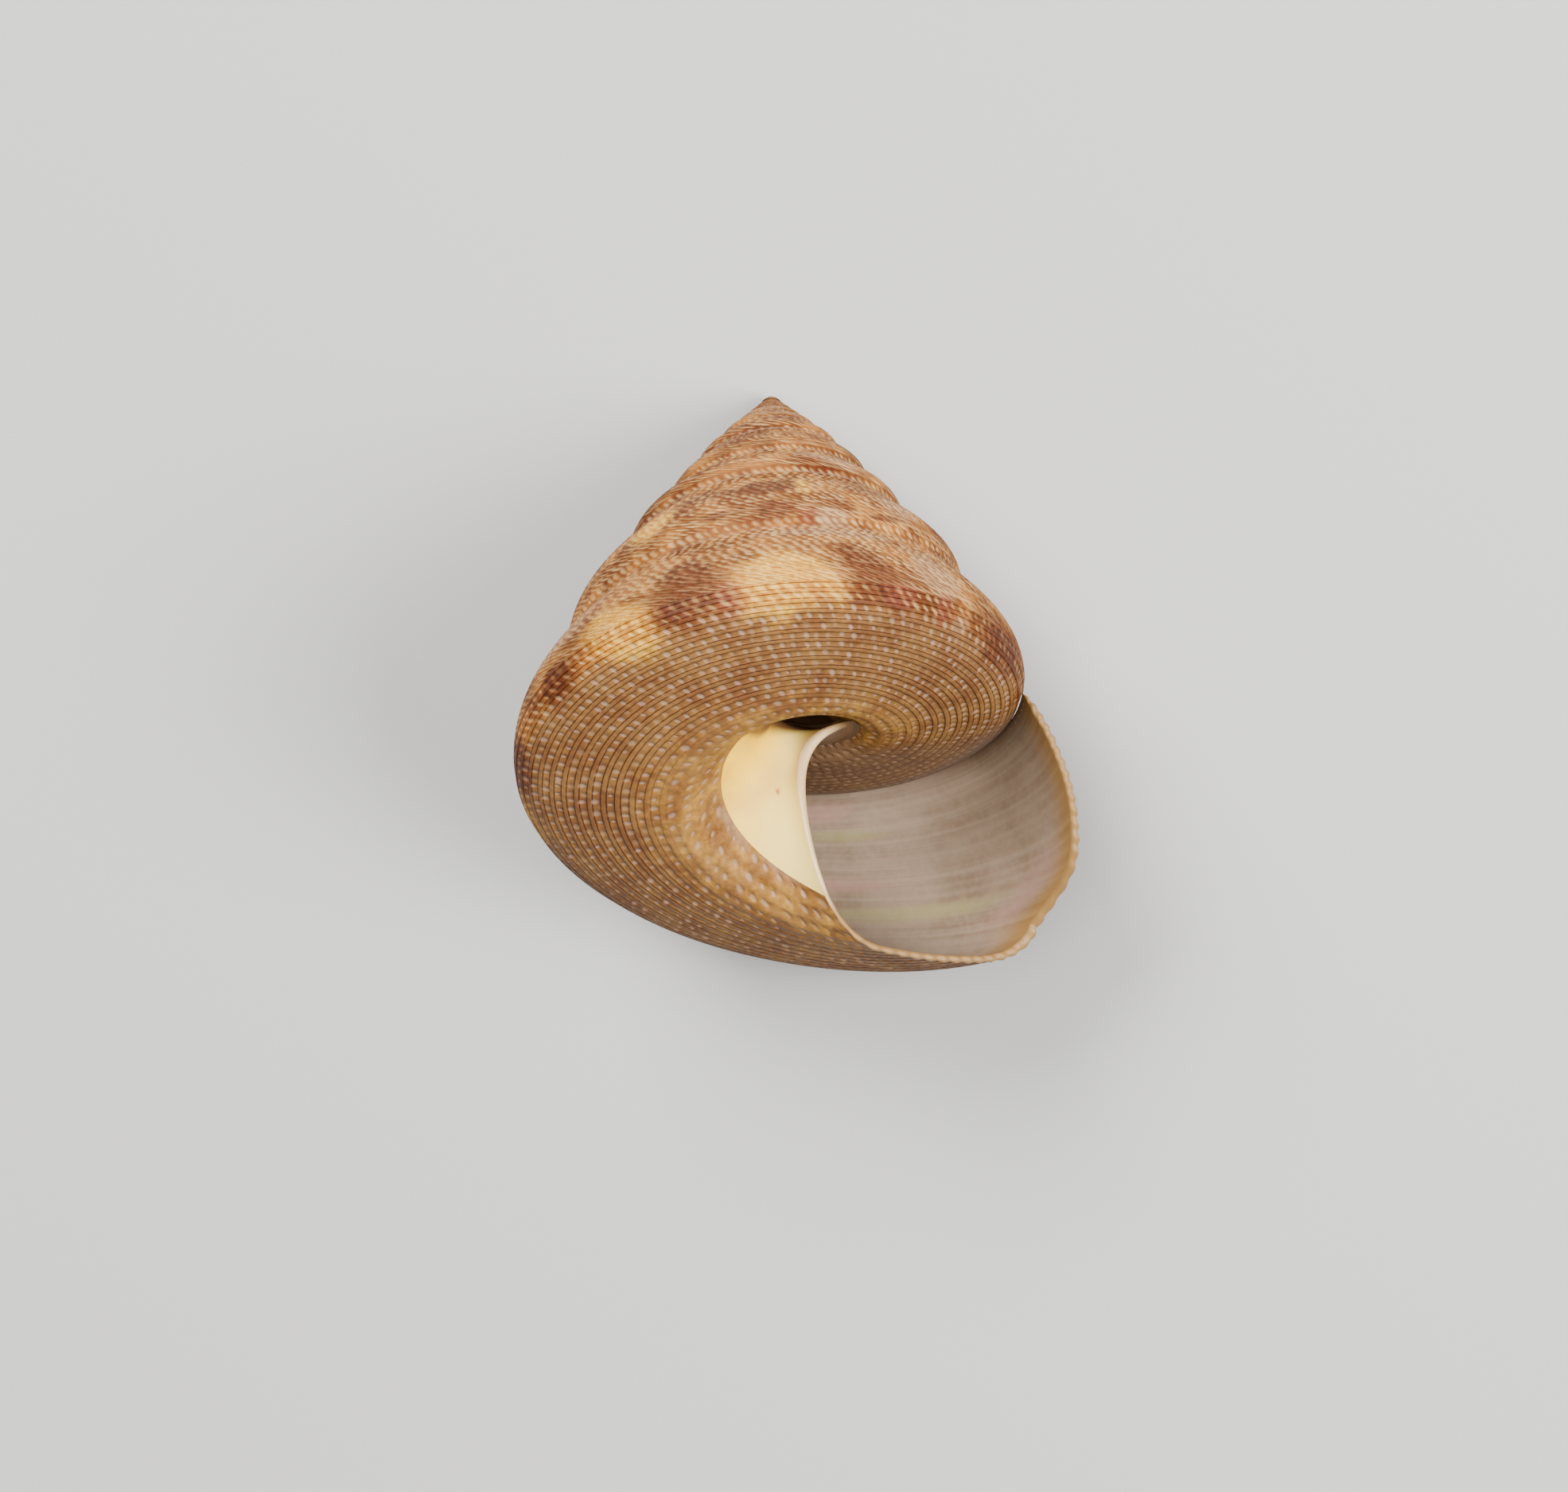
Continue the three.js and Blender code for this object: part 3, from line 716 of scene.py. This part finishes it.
# %% The base and the roof of the mouth
BASE_STRETCHES = [
    # name, from and to in turns, columns, rows per cord, first cord
    ("base_of_the_last_whorl", -0.9, 0.0, 721, 6, SIDE_CORDS),
    ("roof_of_the_mouth", -1.9, -0.9, 401, 5, SIDE_CORDS + HIDDEN_CORDS),
]
BASE_SAMPLE = -0.5
BASE_HEIGHT, BASE_BEAD_PITCH, BASE_BEAD_RADIUS, BASE_RIDGE_SHARE = 0.1, 0.66, 0.15, 0.5
RUST = [(-0.42, 1.95, 0.045, 0.04, 0.2), (-0.31, 1.96, 0.035, 0.03, -0.2), (-0.22, 1.93, 0.020, 0.03, 0.3)]
FROST = [(-0.40, 1.99, 0.06, 0.015, 0.0), (-0.27, 1.995, 0.05, 0.012, 0.0)]
CHIP = [(-0.512, 1.33, 0.0028, 0.022, 0.0)]
RUST_COVER, FROST_COVER, YELLOW_COVER = 0.5, 0.85, 0.3
YELLOW_FROM, LINES_END = (1.55, 1.95), (1.6, 1.9)
INSIDE_FROM = (0.89, 0.97)
BASE_BEAD, BASE_BEAD_LOST, BASE_LINE = 0.74, 0.34, 0.9
# The last of these is painted shade: how far the roof of the mouth is darkened inside, where little light
# reaches under it.
GLAZE_LEAST, GLAZE_FADES, ROOF_PAINTED_SHADE = 0.35, (1.15, 1.4), 0.2

for name, first, last, columns, per_cord, first_cord in BASE_STRETCHES:
    column = np.linspace(first, last, columns)[None, :]
    points, turn, w, along, count, cell = cord_grid(
        (first_cord, SIDE_CORDS + BASE_CORDS), per_cord, column, BASE_SAMPLE, BASE_BEAD_PITCH, BASE_HEIGHT,
        BASE_BEAD_RADIUS, BASE_RIDGE_SHARE
    )
    inside = fade(-column, *INSIDE_FROM)
    colours = patches(turn, w)
    colours["brown"] = np.maximum(colours["brown"], RUST_COVER * spots(turn, w, RUST))
    frosted = FROST_COVER * spots(turn, w, FROST) + spots(turn, w, CHIP)
    colours["pale"] = np.maximum(colours["pale"], frosted)
    colours["yellow"] = np.maximum(colours["yellow"], YELLOW_COVER * fade(w, *YELLOW_FROM) * (1 - inside))
    glaze = inside * (GLAZE_LEAST + (1 - GLAZE_LEAST) * (1 - fade(w, *GLAZE_FADES)))
    skin(name, points, beaded, along, count, bead=BASE_BEAD - BASE_BEAD_LOST * inside,
         line=BASE_LINE * (1 - fade(w, *LINES_END)), tan=1 - fade(w, *TAN_TO_GOLD), flames=0.0,
         glaze=glaze, deep=ROOF_PAINTED_SHADE * inside, **cell, **colours)

# %% [markdown]
# The funnel's wall. It is the inner side of the coil. On the last part it is coated with porcelain, which
# the photograph shows as a cream pad, and further up it is bare and brown, darkened by painted shade deeper
# into the funnel. The two could be one mesh with a mask, but they are two materials on the real shell, and so
# they are two pieces here.

# %% The funnel's wall
WALL_STRETCHES = [
    # name, from and to in turns, columns, material
    ("cream_pad", -0.9, 0.0, 361, porcelain),
    ("wall_further_up", -1.9, -0.9, 181, beaded),
]
WALL_ROWS = 61
# Above these tops the pad is darkened by painted shade, where the slit over it gets little light.
PAD_COLUMNS = [-0.9, -0.5, -0.45, -0.36, -0.18, -0.1, 0.0]
PAD_TOPS = [1.85, 1.85, 2.08, 2.34, 2.6, 2.72, 2.84]
PAD_EDGE = (-0.02, 0.12)
PAD_WHITE = (-0.38, -0.04)
PAD_STAIN = [(-0.156, 2.29, 0.012, 0.012, 0.25)]
# The first of these is the bare wall's brown. The other two are painted shade, which darkens the wall more
# the deeper it goes into the funnel.
BARE_BROWN, BARE_PAINTED_SHADE, BARE_SHADE_DEEPENS = 0.3, 0.75, (2.0, 2.2)

w = np.linspace(2, 3, WALL_ROWS)[:, None]
for name, first, last, columns, material in WALL_STRETCHES:
    column = np.linspace(first, last, columns)[None, :]
    turn = column + lean(w)
    points = place(*outline(turn, w), turn)
    if material is porcelain:
        top = np.interp(column, PAD_COLUMNS, PAD_TOPS)
        paints = dict(white=fade(column, *PAD_WHITE), stain=spots(column, w, PAD_STAIN),
                      deep=fade(w, top + PAD_EDGE[0], top + PAD_EDGE[1]))
    else:
        deep = BARE_PAINTED_SHADE + (1 - BARE_PAINTED_SHADE) * fade(w, *BARE_SHADE_DEEPENS)
        paints = {**PLAIN, "brown": BARE_BROWN, "deep": deep}
    skin(name, points, material, column, w, **paints)

# %% [markdown]
# The lining of the mouth is the outline drawn in towards its own middle by the thickness of the wall. A
# Solidify modifier would give an even wall, but a real one is thin at the lip and thicker inside, and it
# meets the whorl before it at the suture and at the inner lip's top.

# %% The lining
LIP_SHARE, WALL_SHARE, THICKENS = 0.05, 0.12, (0.0, 0.25)
MIDDLE_PLACES = (0.0, 1.3, 2.2, 3.0)
INNER_LIP_THICKER, INNER_LIP_FROM = 0.6, (1.9, 2.1)
SUTURE_SIDE, LIP_TOP_SIDE = (-0.03, 0.12), (2.9, 3.0)
LINING_ROWS, LINING_COLUMNS, LINING_START = 221, 241, -0.75


def lining(column, w):
    """The outline moved towards the mean of four of its places by a share that grows away from the lip."""
    corners = [outline(column + lean(np.array(c)), np.array(c)) for c in MIDDLE_PLACES]
    middle = [sum(c[i] for c in corners) / len(corners) for i in (0, 1)]
    turn = column + lean(w)
    radius, depth = outline(turn, w)
    share = LIP_SHARE + (WALL_SHARE - LIP_SHARE) * fade(-column, *THICKENS)
    share = share * (1 + INNER_LIP_THICKER * fade(w, *INNER_LIP_FROM))
    share = share * fade(w, *SUTURE_SIDE) * (1 - fade(w, *LIP_TOP_SIDE))
    return place(radius + (middle[0] - radius) * share, depth + (middle[1] - depth) * share, turn)


PINK_BANDS = [
    (-0.220, 0.14, 0.02, 0.08, 0.0), (-0.035, 0.80, 0.02, 0.16, 0.0), (-0.20, 0.62, 0.05, 0.05, 0.0),
]
GREEN_BANDS = [(-0.12, 0.81, 0.06, 0.05, 0.0), (-0.20, 0.30, 0.03, 0.04, 0.0)]
# Painted shade: the lining is darkened beside the suture, under the roof of the mouth, and near the top of
# the inner lip, where little light gets in.
SUTURE_PAINTED_SHADE = 0.6

w = np.linspace(0, 3, LINING_ROWS)[:, None]
column = np.linspace(LINING_START, 0.0, LINING_COLUMNS)[None, :]
shade_near_suture = SUTURE_PAINTED_SHADE * (1 - fade(w, 0.0, 0.1)) * fade(column, -0.16, -0.08)
skin("lining_of_the_mouth", lining(column, w), pearl, column, w, True,
     rose=spots(column, w, PINK_BANDS), green=spots(column, w, GREEN_BANDS),
     margin=fade(column, -0.034, -0.002) * (1 - fade(w, 1.9, 2.0)),
     white=fade(column, -0.01, 0.0) * fade(w, 1.95, 2.1), dusk=np.maximum(fade(w, 2.72, 2.92), shade_near_suture))

# %% [markdown]
# The lip closes the edge between outside and lining with half a round. A plain bevel would be smooth, and
# the real edge is finely scalloped by the cords that end in it, so the half round keeps them outside.

# %% The lip
LIP_SCALLOP, LIP_RELIEF = 0.09, 0.7
LIP_PLACES, LIP_ROUND = 901, 9
SHORT_STEP = 0.002
THINNEST = 1e-6
w = np.linspace(0, 3, LIP_PLACES)[None, :]
outside = place(*outline(lean(w), w), lean(w))
inside = lining(np.zeros_like(w), w)
ahead = place(*outline(lean(w) + SHORT_STEP, w), lean(w) + SHORT_STEP) - outside
ahead = ahead / np.linalg.norm(ahead, axis=-1, keepdims=True)
out = outside - inside
thick = np.linalg.norm(out, axis=-1, keepdims=True)
ridge = wave(np.interp(w, CORD_W, CORD_COUNT))[..., None]
ridge = ridge * (fade(w, 0.0, 0.05) * (1 - fade(w, 1.9, 2.0)))[..., None]
half = np.linspace(0, math.pi, LIP_ROUND)[:, None, None]
points = (outside + inside) / 2 + out / 2 * np.cos(half) + ahead * (thick * 0.5 * np.sin(half))
points = points + ahead * LIP_SCALLOP * ridge * np.sin(half)
points = points + SIDE_HEIGHT * LIP_RELIEF * ridge * out / np.maximum(thick, THINNEST) * np.cos(half / 2) ** 4
print("lip, thinnest and thickest in mm:", round(float(thick.min()), 3), round(float(thick.max()), 3))
# Painted shade darkens the top of the lip beside the slit, where little light gets in.
skin("lip", points, pearl, w, half[..., 0], rose=0.0, green=0.0, margin=1 - fade(w, 1.95, 2.05),
     white=fade(w, 1.95, 2.05), dusk=fade(w, 2.8, 2.96))

# %% [markdown]
# The setting: a plain pale floor and soft light. A large lamp stands beyond the tip of the spire, a second
# one to the right lights the pad and the mouth, and a weak one near the camera opens the shadows. Their
# strengths were worked out from renders with one lamp at a time, so that light falls as it does in the
# photograph.

# %% Floor and light
FLOOR_HALF = 2
h = FLOOR_HALF
floor_mesh = bpy.data.meshes.new("floor")
floor_mesh.from_pydata([(-h, -h, 0), (h, -h, 0), (h, h, 0), (-h, h, 0)], [], [(0, 1, 2, 3)])
floor = bpy.data.objects.new("floor", floor_mesh)
bpy.context.scene.collection.objects.link(floor)
paper, paper_shader = new_material("pale paper")
paper_shader.inputs["Base Color"].default_value = linear("#9e9d9b")
paper_shader.inputs["Roughness"].default_value = 0.9
floor_mesh.materials.append(paper)
LAMPS = [
    # name, place in m, size in m, watts
    ("key", (-0.08, 0.36, 0.36), 0.25, 7.0),
    ("right", (0.30, -0.05, 0.30), 0.2, 5.0),
    ("fill", (0.02, 0.05, 0.45), 0.2, 1.6),
]


def soft_light(name, place_m, size, watts):
    """A square lamp that faces the shell."""
    lamp = bpy.data.lights.new(name, "AREA")
    lamp.size, lamp.energy = size, watts
    light = bpy.data.objects.new(name, lamp)
    light.location = place_m
    light.rotation_euler = (-Vector(place_m)).to_track_quat("-Z", "Y").to_euler()
    bpy.context.scene.collection.objects.link(light)
    print("lamp", name, watts, "W")


for lamp in LAMPS:
    soft_light(*lamp)
world = bpy.data.worlds.new("room")
bpy.context.scene.world = world
world.use_nodes = True
world.node_tree.nodes["Background"].inputs["Color"].default_value = linear("#e8eaee")
world.node_tree.nodes["Background"].inputs["Strength"].default_value = 0.15

# %% [markdown]
# The camera stands where the photograph was taken from: seen from the shell it is below the base, and far
# off, so the view is nearly flat. A level view of the scene would have to be turned by hand. Here the tip
# of the spire is put at its place in the photograph, and the frame is the photograph's.

# %% The camera
FOCAL_PX, DISTANCE_PX, PHOTO_PX = 7500.0, 7800.0, (1971, 1876)
MM_PER_PX = 0.03944
APEX_PX = np.array([969.1, 497.0])
VIEW_BELOW, ROLL = math.radians(33.45), -0.0407
NEAREST, FARTHEST = 0.01, 10

toward = turned @ np.array([0, -math.cos(VIEW_BELOW), -math.sin(VIEW_BELOW)])
level = turned @ np.array([1.0, 0, 0])
upright = turned @ np.array([0, -math.sin(VIEW_BELOW), math.cos(VIEW_BELOW)])
right = math.cos(ROLL) * level + math.sin(ROLL) * upright
up = -math.sin(ROLL) * level + math.cos(ROLL) * upright
offset = np.array(PHOTO_PX) / 2 - APEX_PX
camera = bpy.data.objects.new("camera", bpy.data.cameras.new("camera"))
bpy.context.scene.collection.objects.link(camera)
bpy.context.scene.camera = camera
camera.data.lens = FOCAL_PX / PHOTO_PX[0] * camera.data.sensor_width
camera.location = Vector((APEX_AT + toward * DISTANCE_PX * MM_PER_PX) * MM)
back = Vector(toward * FOCAL_PX - right * offset[0] + up * offset[1]).normalized()
side = Vector(up).cross(back).normalized()
camera.rotation_euler = Matrix((side, back.cross(side), back)).transposed().to_euler()
camera.data.clip_start, camera.data.clip_end = NEAREST, FARTHEST
print("camera at, m:", tuple(round(c, 4) for c in camera.location))
